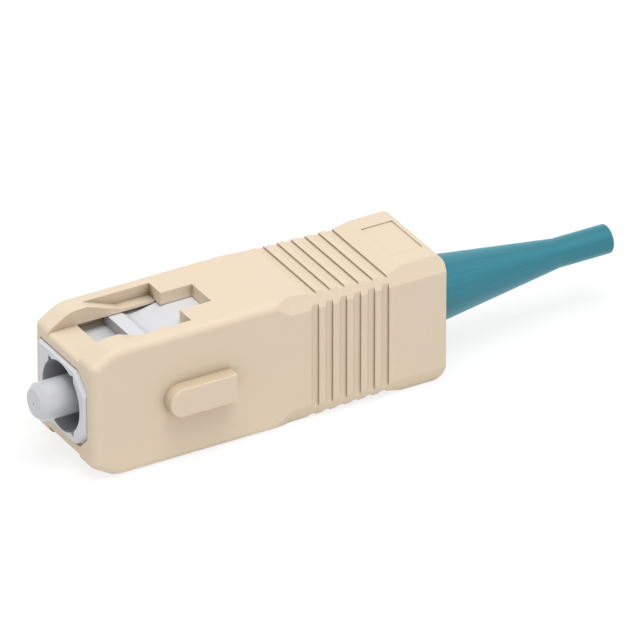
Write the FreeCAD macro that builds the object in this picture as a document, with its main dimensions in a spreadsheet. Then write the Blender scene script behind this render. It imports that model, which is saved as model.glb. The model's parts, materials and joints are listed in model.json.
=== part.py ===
import FreeCAD, Part

import math
import os

import Sketcher
from FreeCAD import Placement, Rotation, Vector

# SC push-pull plug for one buffered fibre, in millimetres.
# X runs along the optical axis, from the mating end at X = 0 towards the boot. Z is up and the
# alignment key is on the -Y side. X = 0 is the front face of the grip.

SIZES = (
    # name, value, what it is
    ("grip_length", 25.1, "front face to rear face of the grip"),
    ("grip_width", 7.4, "grip, across Y"),
    ("grip_height", 8.96, "grip, across Z"),
    ("edge_round", 0.5, "round on every outer edge of the front section"),
    ("lead_length", 1.6, "lead-in slope at the mouth, along X"),
    ("lead_drop", 0.96, "lead-in slope at the mouth, down from the top"),
    ("brow_round", 2.0, "soft bend where that slope meets the top"),
    ("rear_length", 11.1, "rear section with the ribs and facets, along X"),
    ("facet_runout", 1.85, "length over which a facet runs out"),
    ("facet_y", 0.5, "rear edge facet, across Y"),
    ("facet_z", 1.08, "rear edge facet, down Z"),
    ("block_length", 4.1, "rear block with its ramp, behind the last rib"),
    ("waist_drop", 0.35, "how far the waist sinks at its deepest"),
    ("ramp_length", 1.15, "ramp up to the rear block"),
    ("rear_round", 0.7, "round on the rear edges"),
    ("panel_margin", 0.07, "plain panel, behind the ramp"),
    ("panel_length", 2.22, "plain panel, along X"),
    ("panel_width", 3.84, "plain panel, across Y"),
    ("panel_depth", 0.07, "how far the plain panel is sunk"),
    ("rib_pitch", 1.0, "spacing of the ribs"),
    ("rib_depth", 0.13, "depth of the valleys between the ribs"),
    ("rib_valley", 0.42, "flat length of a valley"),
    ("rib_slope", 0.13, "length of the slope into a valley"),
    ("key_start", 5.0, "front of the key"),
    ("key_length", 4.7, "key, along X"),
    ("key_width", 1.94, "key, across Z"),
    ("key_height", 0.9, "key, out of the side"),
    ("key_round", 0.06, "round on the rim of the key"),
    ("mouth_width", 5.9, "opening at the front, across Y"),
    ("mouth_height", 5.44, "opening at the front, across Z"),
    ("mouth_chamfer", 1.0, "chamfered corners of the opening on the key side"),
    ("bridge_end", 2.03, "rear of the bridge over the mouth"),
    ("bridge_top", 3.41, "outer face of the bridge, from the axis"),
    ("bridge_round", 0.28, "round on the bridge's front edge"),
    ("channel_width", 3.86, "channel that an adapter hook slides in"),
    ("release_start", 2.8, "where the release ramps leave the top"),
    ("release_foot", 5.16, "foot of the release ramps"),
    ("release_width", 5.3, "width over both release ramps"),
    ("ledge_top", 3.65, "upper face of the ledges, from the axis"),
    ("ledge_under", 3.44, "underside of the ledges, from the axis"),
    ("pocket_end", 7.52, "rear of the wide part of the window"),
    ("slot_end", 9.75, "rear of the narrow part of the window"),
    ("slot_width", 2.4, "narrow part of the window, across Y"),
    ("bay_height", 7.26, "passage through the grip, across Z"),
    ("bay_chamfer", 0.3, "lead-in at the rear of the passage"),
    ("slide_gap", 0.06, "running gap between the grip and the plug frame"),
    ("slide_travel", 2.0, "how far the grip slides back on the frame"),
    ("stop_play", 0.08, "play at each end of that travel"),
    ("catch_front", 10.5, "front of the retention bumps on the frame"),
    ("catch_length", 0.8, "retention bumps, along X"),
    ("catch_width", 2.0, "retention bumps, across Z"),
    ("catch_height", 0.25, "retention bumps, out of the frame"),
    ("nose_reach", 0.2, "how far the frame stands out of the mouth"),
    ("nose_height", 5.2, "front part of the frame, across Z"),
    ("nose_lead", 0.12, "lead-in round the front face of the frame"),
    ("corner_chamfer", 1.0, "chamfered corners of the frame on the key side"),
    ("bevel_extra", 0.45, "extra width of the corner bevel at the front face"),
    ("bevel_length", 0.45, "corner bevel, along X"),
    ("ridge_front", 4.25, "front wall of the catch ridge"),
    ("ridge_back", 5.23, "rear of the top of the catch ridge"),
    ("ridge_height", 6.72, "frame over both catch ridges"),
    ("ridge_width", 5.0, "catch ridge, across Y"),
    ("dip_place", 5.66, "low line behind the ridge"),
    ("dip_height", 6.24, "frame over both low lines"),
    ("back_height", 6.2, "frame beside the wedge, across Z"),
    ("wedge_top", 7.94, "where the wedge meets the full height"),
    ("wedge_width", 3.7, "wedge behind the ridge, across Y"),
    ("shoulder_start", 9.85, "front of the full section of the frame"),
    ("shoulder_height", 7.14, "full section of the frame, across Z"),
    ("frame_end", 14.0, "rear face of the frame"),
    ("bore_radius", 2.345, "bore round the ferrule"),
    ("notch_y", 1.55, "tip of each bore notch, across Y"),
    ("notch_z", 2.16, "tip of each bore notch, across Z"),
    ("notch_width", 0.95, "bore notch at its root"),
    ("web_front", 4.5, "front of the web that stops the flange"),
    ("web_back", 5.5, "rear of that web"),
    ("web_radius", 1.45, "hole through the web"),
    ("spring_room", 2.45, "radius of the bore behind the web"),
    ("socket_front", 11.4, "front of the socket for the stop ring"),
    ("fit_gap", 0.03, "gap between the stop ring and its socket"),
    ("ferrule_radius", 1.25, "ferrule"),
    ("ferrule_length", 10.5, "ferrule, tip to rear"),
    ("ferrule_reach", 2.12, "tip of the ferrule in front of the grip"),
    ("tip_radius", 0.93, "polished end of the ferrule"),
    ("tip_chamfer", 0.4, "cone behind the polished end"),
    ("polish_radius", 12.0, "spherical polish of the tip"),
    ("land_gap", 0.1, "end of the ferrule's ground land, in front of the web"),
    ("land_relief", 0.25, "how far the pressed-in rear is below that land"),
    ("fibre_radius", 0.063, "hole for the bare fibre"),
    ("funnel_radius", 0.45, "mouth of the funnel at the rear"),
    ("funnel_length", 1.2, "funnel at the rear of the ferrule"),
    ("collar_radius", 2.3, "flange collar"),
    ("collar_length", 2.1, "flange collar, along X"),
    ("collar_chamfer", 0.25, "chamfer on the collar"),
    ("key_slot_width", 0.8, "tuning slots in the collar"),
    ("key_slot_depth", 0.5, "tuning slots in the collar"),
    ("key_gap", 0.1, "gap round each key in its slot"),
    ("stem_radius", 1.45, "stem behind the collar"),
    ("stem_end", 12.2, "rear end of the stem"),
    ("stem_wall", 0.7, "stem wall round the buffer tube"),
    ("throat_radius", 0.5, "throat between ferrule and buffer tube"),
    ("throat_length", 0.7, "that throat, along X"),
    ("tube_wall", 0.25, "wall of the buffer tube"),
    ("tube_clear", 2.0, "tube inside the spigot's end when the ferrule is pushed back"),
    ("ferrule_travel", 1.5, "how far the ferrule can be pushed back"),
    ("wire_radius", 0.225, "spring wire"),
    ("spring_radius", 1.85, "spring, to the middle of the wire"),
    ("spring_turns", 7.0, "turns of the spring"),
    ("spring_length", 6.0, "spring, from the collar to its seat"),
    ("ring_radius", 2.5, "front barrel of the stop ring"),
    ("ring_bore", 2.2, "bore round the spring"),
    ("seat_radius", 1.6, "hole in the spring seat"),
    ("rim_radius", 2.8, "rim that meets the frame"),
    ("rim_length", 1.0, "that rim, along X"),
    ("lug_front", 12.4, "front of the snap lugs"),
    ("lug_length", 0.8, "snap lugs, along X"),
    ("lug_width", 1.8, "snap lugs, across Z"),
    ("lug_reach", 2.8, "snap lugs, from the axis"),
    ("lug_gap", 0.1, "gap round the lugs in their windows"),
    ("spigot_radius", 1.75, "spigot that the boot grips"),
    ("spigot_length", 6.0, "that spigot, along X"),
    ("spigot_bore", 1.1, "bore through the spigot"),
    ("barb_pitch", 0.8, "spacing of the rings on the spigot"),
    ("barb_depth", 0.12, "depth of the rings on the spigot"),
    ("boot_collar_radius", 2.65, "collar at the front of the boot"),
    ("boot_collar_length", 1.4, "that collar, along X"),
    ("boot_radius", 2.45, "body of the boot"),
    ("taper_start", 24.0, "where the boot starts to taper"),
    ("taper_end", 35.2, "where the taper meets the tail"),
    ("tail_radius", 0.96, "tail of the boot"),
    ("boot_end", 39.0, "rear end of the boot"),
    ("tail_round", 0.12, "round on the rim of the tail"),
    ("buffer_radius", 0.5, "hole for the buffered fibre"),
    ("cone_end", 30.0, "where the inner cone meets that hole"),
    ("cone_mouth", 1.4, "inner cone at its wide end"),
)

RIB_COUNT = 6
BARB_COUNT = 6
SLOT_COUNT = 4
SIDES = (-1, 1)
OVERCUT = 0.5     # how far a cut stands past the faces it opens
PAST = 0.2        # how far a facet's cutter stands past the body, as a share of the facet
SLIVER = 0.01     # what is left of a facet where it has run out, as a share of it
NOTCH_ROOT = 0.9  # where a notch starts, as a share of the bore's radius
BARB_SLOPE = 3    # rear slope of a spigot ring, in depths


class Size:
    """A length that carries both its number and its formula on the sheet."""

    def __init__(self, value, text):
        self.value = value
        self.text = text

    @staticmethod
    def of(thing):
        return thing if isinstance(thing, Size) else Size(float(thing), repr(float(thing)))

    def combine(self, other, sign, value):
        return Size(value, "(%s %s %s)" % (self.text, sign, Size.of(other).text))

    def __add__(self, other):
        return self.combine(other, "+", self.value + Size.of(other).value)

    def __sub__(self, other):
        return self.combine(other, "-", self.value - Size.of(other).value)

    def __mul__(self, other):
        return self.combine(other, "*", self.value * Size.of(other).value)

    def __truediv__(self, other):
        return self.combine(other, "/", self.value / Size.of(other).value)

    def __rsub__(self, other):
        return Size.of(other) - self

    def __rtruediv__(self, other):
        return Size.of(other) / self

    def __neg__(self):
        return self * -1

    __radd__ = __add__
    __rmul__ = __mul__


class Sizes:
    """The driving sizes by name: the spreadsheet, its aliases and the Size of each."""

    def __init__(self, doc):
        sheet = doc.addObject("Spreadsheet::Sheet", "Sizes")
        for row, (name, value, note) in enumerate(SIZES, start=1):
            sheet.set("A%d" % row, name)
            sheet.set("B%d" % row, str(value))
            sheet.set("C%d" % row, note)
            sheet.setAlias("B%d" % row, name)
            setattr(self, name, Size(value, "Sizes." + name))
        self.facet_start = self.grip_length - self.rear_length
        self.waist_end = self.grip_length - self.block_length
        self.land_end = self.web_front - self.land_gap
        self.ferrule_back = self.ferrule_length - self.ferrule_reach
        self.collar_back = self.web_back + self.collar_length
        self.seat_place = self.collar_back + self.spring_length
        self.rim_back = self.frame_end + self.rim_length
        self.spigot_end = self.rim_back + self.spigot_length
        self.tube_end = self.spigot_end - self.ferrule_travel - self.tube_clear


def new_body(doc, name):
    body = doc.addObject("PartDesign::Body", name)
    body.Label = name
    return body


def new_sketch(body, name, role, offset=0.0):
    """An empty sketch on one of the body's origin planes, moved along the plane's normal."""
    sketch = body.newObject("Sketcher::SketchObject", name)
    plane = [o for o in body.Origin.OriginFeatures if o.Role == role][0]
    sketch.AttachmentSupport = [(plane, "")]
    sketch.MapMode = "FlatFace"
    offset = Size.of(offset)
    sketch.AttachmentOffset = Placement(Vector(0, 0, offset.value), Rotation())
    sketch.setExpression(".AttachmentOffset.Base.z", offset.text)
    return sketch


def bind(sketch, kind, where, size):
    """Add one dimension to the sketch and tie it to the sheet."""
    size = Size.of(size)
    index = sketch.addConstraint(Sketcher.Constraint(kind, *where, size.value))
    sketch.setExpression("Constraints[%d]" % index, size.text)


def pin_point(sketch, curve, end, point):
    bind(sketch, "DistanceX", (-1, 1, curve, end), point[0])
    bind(sketch, "DistanceY", (-1, 1, curve, end), point[1])


def outline(sketch, points, arcs=None):
    """A closed outline. arcs gives some sides a radius: positive turns left, negative right."""
    arcs = arcs or {}
    ends = []
    for side, start in enumerate(points):
        p = Vector(Size.of(start[0]).value, Size.of(start[1]).value, 0)
        stop = points[(side + 1) % len(points)]
        q = Vector(Size.of(stop[0]).value, Size.of(stop[1]).value, 0)
        if side not in arcs:
            curve = sketch.addGeometry(Part.LineSegment(p, q))
            ends.append((curve, 1, 2))
            continue
        radius = Size.of(arcs[side])
        left = radius.value > 0
        reach = abs(radius.value)
        half = (q - p) / 2
        across = Vector(-half.y, half.x, 0).normalize()
        depth = math.sqrt(max(reach**2 - half.Length**2, 0))
        centre = p + half + across * (depth if left else -depth)
        first, last = (p, q) if left else (q, p)
        angles = [math.atan2((v - centre).y, (v - centre).x) for v in (first, last)]
        circle = Part.Circle(centre, Vector(0, 0, 1), reach)
        curve = sketch.addGeometry(Part.ArcOfCircle(circle, *angles))
        ends.append((curve, 1, 2) if left else (curve, 2, 1))
        bind(sketch, "Radius", (curve,), radius if left else -radius)
    for side, start in enumerate(points):
        pin_point(sketch, ends[side][0], ends[side][1], start)
        following = ends[(side + 1) % len(points)]
        join = (ends[side][0], ends[side][2], following[0], following[1])
        sketch.addConstraint(Sketcher.Constraint("Coincident", *join))


def box_outline(sketch, low, high):
    outline(sketch, [low, (high[0], low[1]), high, (low[0], high[1])])


def finish(body, feature):
    """Recompute one feature and check that it changed the body the right way."""
    patterned = feature.TypeId.endswith("Pattern")
    base = feature.Originals[0] if patterned else feature.BaseFeature
    before = base.Shape.Volume if base else 0.0
    body.Document.recompute()
    if not feature.isValid() or feature.Shape.isNull():
        raise RuntimeError("%s failed: %s" % (feature.Name, feature.getStatusString()))
    change = feature.Shape.Volume - before
    cuts = any(word in feature.TypeId for word in ("Pocket", "Groove", "Subtractive", "Pattern"))
    dressing = any(word in feature.TypeId for word in ("Fillet", "Chamfer"))
    if not dressing and (change >= 0 if cuts else change <= 0):
        raise RuntimeError("%s changed the volume by %f" % (feature.Name, change))
    return feature


def extrude(body, kind, sketch, length, both_ways=False, reverse=False):
    feature = body.newObject("PartDesign::" + kind, sketch.Name + kind)
    feature.Profile = sketch
    feature.SideType = "Symmetric" if both_ways else "One side"
    feature.Reversed = reverse
    feature.setExpression("Length", Size.of(length).text)
    return finish(body, feature)


def pad(body, sketch, length, **how):
    return extrude(body, "Pad", sketch, length, **how)


def pocket(body, sketch, length, **how):
    return extrude(body, "Pocket", sketch, length, **how)


def turn(body, kind, sketch):
    """Revolve a half profile about the sketch's own horizontal axis, the optical axis."""
    feature = body.newObject("PartDesign::" + kind, sketch.Name + kind)
    feature.Profile = sketch
    feature.ReferenceAxis = (sketch, ["H_Axis"])
    feature.Angle = 360.0
    return finish(body, feature)


def dress(body, kind, size, test):
    """Fillet or chamfer the edges of the body whose middle passes a test."""
    base = body.Tip
    names = []
    for number, edge in enumerate(base.Shape.Edges, start=1):
        middle = edge.valueAt((edge.FirstParameter + edge.LastParameter) / 2)
        if test(middle):
            names.append("Edge%d" % number)
    feature = body.newObject("PartDesign::" + kind, body.Name + kind)
    feature.Base = (base, names)
    feature.setExpression("Radius" if kind == "Fillet" else "Size", Size.of(size).text)
    return finish(body, feature)


def near(a, b, slack=1e-4):
    return abs(a - Size.of(b).value) < slack


# ---------------------------------------------------------------- grip


def grip_front(body, s):
    """Front section: square bar with a lead-in slope above and below, and rounded edges."""
    top = s.grip_height / 2
    sill = top - s.lead_drop
    sketch = new_sketch(body, "GripFront", "XZ_Plane")
    outline(sketch, [(0, -sill), (0, sill), (s.lead_length, top), (s.facet_start, top),
                     (s.facet_start, -top), (s.lead_length, -top)])
    pad(body, sketch, s.grip_width, both_ways=True)

    def brow(middle):
        return near(middle.x, s.lead_length) and near(middle.y, 0)

    dress(body, "Fillet", s.brow_round, brow)

    side = s.grip_width / 2

    def outer_edge(middle):
        sill_edge = near(middle.x, 0) and near(middle.y, 0)
        return sill_edge or near(abs(middle.y), side) and not near(middle.x, s.facet_start)

    dress(body, "Fillet", s.edge_round, outer_edge)


def grip_rear(body, s):
    """Rear section: waist, ramp and rear block, with a facet along each long edge."""
    top = s.grip_height / 2
    side = s.grip_width / 2
    waist = top - s.waist_drop
    ramp_end = s.waist_end + s.ramp_length
    shoulder = s.grip_length - s.rear_round
    brow = top - s.rear_round
    sketch = new_sketch(body, "GripRear", "XZ_Plane")
    points = [(s.facet_start, -top), (s.facet_start, top), (s.waist_end, waist), (ramp_end, top),
              (shoulder, top), (s.grip_length, brow), (s.grip_length, -brow), (shoulder, -top),
              (ramp_end, -top), (s.waist_end, -waist)]
    outline(sketch, points, {4: -s.rear_round, 6: -s.rear_round})
    pad(body, sketch, s.grip_width, both_ways=True)

    facets = new_sketch(body, "GripFacets", "YZ_Plane", s.facet_start)
    runout = {}
    for y in SIDES:
        for z in SIDES:
            inner = (y * (side - s.facet_y * (1 + PAST)), z * (top + s.facet_z * PAST))
            lower = (y * (side + s.facet_y * PAST), z * (top - s.facet_z * (1 + PAST)))
            corner = (y * (side + s.facet_y), z * (top + s.facet_z))
            outline(facets, [inner, lower, corner])
            runout[y, z] = (inner, lower, corner)
    pocket(body, facets, s.grip_length - s.facet_start + OVERCUT, reverse=True)
    for (y, z), corners in runout.items():
        grip_runout(body, s, y, z, corners)


def grip_runout(body, s, y, z, corners):
    """One facet's slanted front end: a loft from the full facet to a sliver on the corner."""
    name = "Runout%s%s" % ("L" if y < 0 else "R", "D" if z < 0 else "U")
    top = s.grip_height / 2
    side = s.grip_width / 2
    wide = new_sketch(body, name + "Wide", "YZ_Plane", s.facet_start)
    outline(wide, corners)
    thin = new_sketch(body, name + "Thin", "YZ_Plane", s.facet_start - s.facet_runout)
    inner = (y * (side - s.facet_y * SLIVER), z * (top + s.facet_z * PAST))
    lower = (y * (side + s.facet_y * PAST), z * (top - s.facet_z * SLIVER))
    outline(thin, [inner, lower, (y * (side + s.facet_y), z * (top + s.facet_z))])
    loft = body.newObject("PartDesign::SubtractiveLoft", name)
    loft.Profile = wide
    loft.Sections = [thin]
    finish(body, loft)


def grip_ribs(body, s):
    """Rings of shallow valleys round the waist, each with a steep wall that faces the mouth."""
    top = s.grip_height / 2
    side = s.grip_width / 2
    fall = s.waist_drop / (s.waist_end - s.facet_start)
    steep = s.rib_slope * (OVERCUT / s.rib_depth)
    over = new_sketch(body, "RibsOver", "XZ_Plane")
    beside = new_sketch(body, "RibsBeside", "XY_Plane")
    for rib in range(RIB_COUNT):
        wall = s.waist_end - s.rib_pitch * rib
        valley = wall - s.rib_valley
        lip = valley - s.rib_slope - steep
        for sign in SIDES:
            at_wall = top - (wall - s.facet_start) * fall
            at_valley = top - (valley - s.facet_start) * fall
            outline(over, [(wall, sign * (at_wall + OVERCUT)),
                           (wall, sign * (at_wall - s.rib_depth)),
                           (valley, sign * (at_valley - s.rib_depth)),
                           (lip, sign * (at_wall + OVERCUT))])
            outline(beside, [(wall, sign * (side + OVERCUT)), (wall, sign * (side - s.rib_depth)),
                             (valley, sign * (side - s.rib_depth)), (lip, sign * (side + OVERCUT))])
    pocket(body, over, s.grip_width + OVERCUT, both_ways=True)
    pocket(body, beside, s.grip_height + OVERCUT, both_ways=True)


def grip_panels(body, s):
    """Shallow plain panel sunk in the rear block, above and below."""
    top = s.grip_height / 2
    front = s.waist_end + s.ramp_length + s.panel_margin
    back = front + s.panel_length
    panels = new_sketch(body, "Panels", "XZ_Plane")
    for sign in SIDES:
        floor = top - s.panel_depth
        box_outline(panels, (front, sign * floor), (back, sign * (top + OVERCUT)))
    pocket(body, panels, s.panel_width, both_ways=True)


def grip_key(body, s):
    """Alignment key: round front, square rear, softened rim."""
    side = s.grip_width / 2
    half = s.key_width / 2
    sketch = new_sketch(body, "Key", "XZ_Plane", side)
    back = s.key_start + s.key_length
    round_end = s.key_start + half
    outline(sketch, [(s.key_start, 0), (round_end, half), (back, half), (back, -half),
                     (round_end, -half)], {0: -half, 4: -half})
    pad(body, sketch, s.key_height)

    face = -(side + s.key_height).value

    def rim(middle):
        return near(middle.y, face)

    dress(body, "Fillet", s.key_round, rim)


def grip_passage(body, s):
    """Mouth, the passage that holds the plug, and the pockets for its retention bumps."""
    half = s.mouth_width / 2
    rise = s.mouth_height / 2
    cut = s.mouth_chamfer
    mouth = new_sketch(body, "Mouth", "YZ_Plane", -OVERCUT)
    outline(mouth, [(-half, -rise + cut), (-half, rise - cut), (-half + cut, rise), (half, rise),
                    (half, -rise), (-half + cut, -rise)])
    pocket(body, mouth, s.bridge_end + 2 * OVERCUT, reverse=True)

    bay = s.bay_height / 2
    rear = s.grip_length + OVERCUT
    funnel = s.grip_length - s.bay_chamfer
    mouth_of_bay = bay + s.bay_chamfer + OVERCUT
    passage = new_sketch(body, "Passage", "XZ_Plane")
    upper = [(s.bridge_end, s.ledge_under), (s.pocket_end, s.ledge_under), (s.pocket_end, bay),
             (funnel, bay), (rear, mouth_of_bay)]
    outline(passage, upper + [(x, -z) for x, z in reversed(upper)])
    pocket(body, passage, s.mouth_width, both_ways=True)

    slack = s.stop_play
    front = s.catch_front - s.catch_height - s.slide_travel - slack
    back = s.catch_front + s.catch_length + slack
    wide = s.catch_width / 2 + slack
    reach = s.mouth_width / 2 + s.catch_height + s.slide_gap
    catches = new_sketch(body, "CatchPockets", "XZ_Plane")
    box_outline(catches, (front, -wide), (back, wide))
    pocket(body, catches, reach * 2, both_ways=True)


def grip_windows(body, s):
    """Hook window above and below: channel, release ramps, ledges and the narrow slot."""
    top = s.grip_height / 2
    half = s.channel_width / 2
    slot = s.slot_width / 2
    over = top + OVERCUT
    ramps = new_sketch(body, "ReleaseRamps", "XZ_Plane")
    channel = new_sketch(body, "Channels", "XZ_Plane")
    for sign in SIDES:
        outline(ramps, [(s.release_start, sign * over), (s.release_start, sign * top),
                        (s.release_foot, sign * s.ledge_top), (s.pocket_end, sign * s.ledge_top),
                        (s.pocket_end, sign * over)])
        lip = s.bridge_top - s.bridge_round
        outline(channel, [(-OVERCUT, sign * lip), (0, sign * lip),
                          (s.bridge_round, sign * s.bridge_top), (s.bridge_end, sign * s.bridge_top),
                          (s.bridge_end, sign * over), (-OVERCUT, sign * over)],
                {1: s.bridge_round * -sign})
    pocket(body, ramps, s.release_width, both_ways=True)
    pocket(body, channel, s.channel_width, both_ways=True)

    window = new_sketch(body, "HookWindows", "XY_Plane")
    outline(window, [(s.bridge_end, -half), (s.pocket_end, -half), (s.pocket_end, -slot),
                     (s.slot_end, -slot), (s.slot_end, slot), (s.pocket_end, slot),
                     (s.pocket_end, half), (s.bridge_end, half)])
    pocket(body, window, s.grip_height + OVERCUT, both_ways=True)


def make_grip(doc, s):
    body = new_body(doc, "grip")
    grip_front(body, s)
    grip_rear(body, s)
    grip_ribs(body, s)
    grip_panels(body, s)
    grip_key(body, s)
    grip_passage(body, s)
    grip_windows(body, s)
    return body


# ---------------------------------------------------------------- plug frame


def frame_shell(body, s):
    """Outside of the frame: nose, catch ridges, wedge, full section and retention bumps."""
    width = s.mouth_width - s.slide_gap * 2
    nose = s.nose_height / 2
    ridge = s.ridge_height / 2
    front = -s.nose_reach

    core = new_sketch(body, "FrameCore", "XZ_Plane")
    back = s.back_height / 2
    full = s.shoulder_height / 2
    upper = [(front, nose), (s.ridge_back, nose), (s.ridge_back, back), (s.shoulder_start, back),
             (s.shoulder_start, full), (s.frame_end, full)]
    outline(core, upper + [(x, -z) for x, z in reversed(upper)])
    pad(body, core, width, both_ways=True)

    def front_rim(middle):
        return near(middle.x, front)

    dress(body, "Chamfer", s.nose_lead, front_rim)

    ridges = new_sketch(body, "CatchRidges", "XZ_Plane")
    inside = nose - OVERCUT
    for sign in SIDES:
        outline(ridges, [(s.ridge_front, sign * inside), (s.ridge_front, sign * ridge),
                         (s.ridge_back, sign * ridge), (s.ridge_back, sign * inside)])
    pad(body, ridges, s.ridge_width, both_ways=True)

    wedge = new_sketch(body, "Wedges", "XZ_Plane")
    dip = s.dip_height / 2
    for sign in SIDES:
        outline(wedge, [(s.ridge_back, sign * inside), (s.ridge_back, sign * ridge),
                        (s.dip_place, sign * dip), (s.wedge_top, sign * full),
                        (s.shoulder_start, sign * full), (s.shoulder_start, sign * inside)])
    pad(body, wedge, s.wedge_width, both_ways=True)

    bump = s.catch_height
    side = width / 2
    catch_back = s.catch_front + s.catch_length
    bumps = new_sketch(body, "RetentionBumps", "XY_Plane")
    outline(bumps, [(s.catch_front - bump, -side), (s.catch_front, -side - bump),
                    (catch_back, -side - bump), (catch_back, side + bump),
                    (s.catch_front, side + bump), (s.catch_front - bump, side)])
    pad(body, bumps, s.catch_width, both_ways=True)


def frame_corners(body, s):
    """Chamfers on the two key-side corners of the nose, each opened to a bevel at the front."""
    side = s.mouth_width / 2 - s.slide_gap
    nose = s.nose_height / 2
    front = -s.nose_reach - OVERCUT
    cut = s.corner_chamfer
    wide = cut + s.bevel_extra
    for sign in SIDES:
        end = "Up" if sign > 0 else "Down"

        def corner(leg):
            return [(-side - OVERCUT, sign * (nose - leg - OVERCUT)),
                    (-side + leg + OVERCUT, sign * (nose + OVERCUT)),
                    (-side - OVERCUT, sign * (nose + OVERCUT))]

        chamfer = new_sketch(body, "NoseChamfer" + end, "YZ_Plane", front)
        outline(chamfer, corner(cut))
        pocket(body, chamfer, s.ridge_front - front, reverse=True)

        mouth = new_sketch(body, "BevelMouth" + end, "YZ_Plane", -s.nose_reach)
        outline(mouth, corner(wide))
        throat = new_sketch(body, "BevelThroat" + end, "YZ_Plane", s.bevel_length - s.nose_reach)
        outline(throat, corner(cut))
        loft = body.newObject("PartDesign::SubtractiveLoft", "NoseBevel" + end)
        loft.Profile = mouth
        loft.Sections = [throat]
        finish(body, loft)


def frame_bore(body, s):
    """Bore round the ferrule, web with the flange seat, spring bore and stop ring socket."""
    front = -s.nose_reach - OVERCUT
    socket = s.ring_radius + s.fit_gap
    bore = new_sketch(body, "FrameBore", "XY_Plane")
    outline(bore, [(front, 0), (front, s.bore_radius), (s.web_front, s.bore_radius),
                   (s.web_front, s.web_radius), (s.web_back, s.web_radius),
                   (s.web_back, s.spring_room), (s.socket_front, s.spring_room),
                   (s.socket_front, socket), (s.frame_end + OVERCUT, socket),
                   (s.frame_end + OVERCUT, 0)])
    turn(body, "Groove", bore)

    notches = new_sketch(body, "BoreNotches", "YZ_Plane", front)
    reach = math.hypot(s.notch_y.value, s.notch_z.value)
    for y in SIDES:
        for z in SIDES:
            root = s.bore_radius * NOTCH_ROOT / reach
            lean = s.notch_width / 2 / reach
            tip = (y * s.notch_y, z * s.notch_z)
            one = (y * (s.notch_y * root - s.notch_z * lean), z * (s.notch_z * root + s.notch_y * lean))
            two = (y * (s.notch_y * root + s.notch_z * lean), z * (s.notch_z * root - s.notch_y * lean))
            outline(notches, [tip, one, two])
    pocket(body, notches, s.web_front - front, reverse=True)


def frame_keys(body, s):
    """Two keys behind the web that stop the flange turning, and the windows for the lugs."""
    half = s.key_slot_width / 2 - s.key_gap
    tip = s.collar_radius - s.key_slot_depth + s.key_gap
    keys = new_sketch(body, "FlangeKeys", "YZ_Plane", s.web_back)
    for sign in SIDES:
        box_outline(keys, (-half, sign * tip), (half, sign * (s.spring_room + s.fit_gap)))
    pad(body, keys, s.collar_length / 2)

    gap = s.lug_gap
    windows = new_sketch(body, "LugWindows", "XZ_Plane")
    wide = s.lug_width / 2 + gap
    box_outline(windows, (s.lug_front - gap, -wide), (s.lug_front + s.lug_length + gap, wide))
    pocket(body, windows, s.mouth_width + OVERCUT, both_ways=True)


def make_plug_frame(doc, s):
    body = new_body(doc, "plug_frame")
    frame_shell(body, s)
    frame_corners(body, s)
    frame_bore(body, s)
    frame_keys(body, s)
    return body


# ---------------------------------------------------------------- ferrule


def make_ferrule(doc, s):
    """Zirconia pin: domed tip, cone, ground land, fibre hole and the fibre's lead-in funnel."""
    body = new_body(doc, "ferrule")
    tip = -s.ferrule_reach
    back = s.ferrule_back
    sag = (s.tip_radius * s.tip_radius) / (s.polish_radius * 2)
    pressed = s.ferrule_radius - s.land_relief
    sketch = new_sketch(body, "FerruleProfile", "XY_Plane")
    outline(sketch, [(tip, 0), (tip + sag, s.tip_radius), (tip + s.tip_chamfer, s.ferrule_radius),
                     (s.land_end, s.ferrule_radius), (s.land_end, pressed), (back, pressed),
                     (back, 0)],
            {0: -s.polish_radius})
    turn(body, "Revolution", sketch)
    hole = new_sketch(body, "FibreHole", "XY_Plane")
    outline(hole, [(tip - OVERCUT, 0), (tip - OVERCUT, s.fibre_radius),
                   (back - s.funnel_length, s.fibre_radius), (back, s.funnel_radius),
                   (back + OVERCUT, s.funnel_radius), (back + OVERCUT, 0)])
    turn(body, "Groove", hole)
    return body


def make_flange(doc, s):
    """Plated holder pressed on the ferrule: collar with tuning slots, and the spring's stem."""
    body = new_body(doc, "ferrule_flange")
    front = s.web_back
    shoulder = s.collar_back
    sketch = new_sketch(body, "FlangeProfile", "XY_Plane")
    outline(sketch, [(front, 0), (front, s.collar_radius - s.collar_chamfer),
                     (front + s.collar_chamfer, s.collar_radius), (shoulder, s.collar_radius),
                     (shoulder, s.stem_radius), (s.stem_end, s.stem_radius), (s.stem_end, 0)])
    turn(body, "Revolution", sketch)

    back = s.ferrule_back
    tube = back + s.throat_length
    pressed = s.ferrule_radius - s.land_relief
    socket = s.stem_radius - s.stem_wall
    bore = new_sketch(body, "FlangeBore", "XY_Plane")
    outline(bore, [(front - OVERCUT, 0), (front - OVERCUT, pressed), (back, pressed),
                   (back, s.throat_radius), (tube, s.throat_radius), (tube, socket),
                   (s.stem_end + OVERCUT, socket), (s.stem_end + OVERCUT, 0)])
    turn(body, "Groove", bore)

    half = s.key_slot_width / 2
    floor = s.collar_radius - s.key_slot_depth
    slot = new_sketch(body, "TuningSlot", "YZ_Plane", front - OVERCUT)
    box_outline(slot, (-half, floor), (half, s.collar_radius + OVERCUT))
    cut = pocket(body, slot, s.collar_length + OVERCUT, reverse=True)
    pattern = body.newObject("PartDesign::PolarPattern", "TuningSlots")
    pattern.Originals = [cut]
    pattern.Axis = (slot, ["N_Axis"])
    pattern.Angle = 360.0
    pattern.Occurrences = SLOT_COUNT
    body.Tip = pattern
    finish(body, pattern)
    return body


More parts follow.
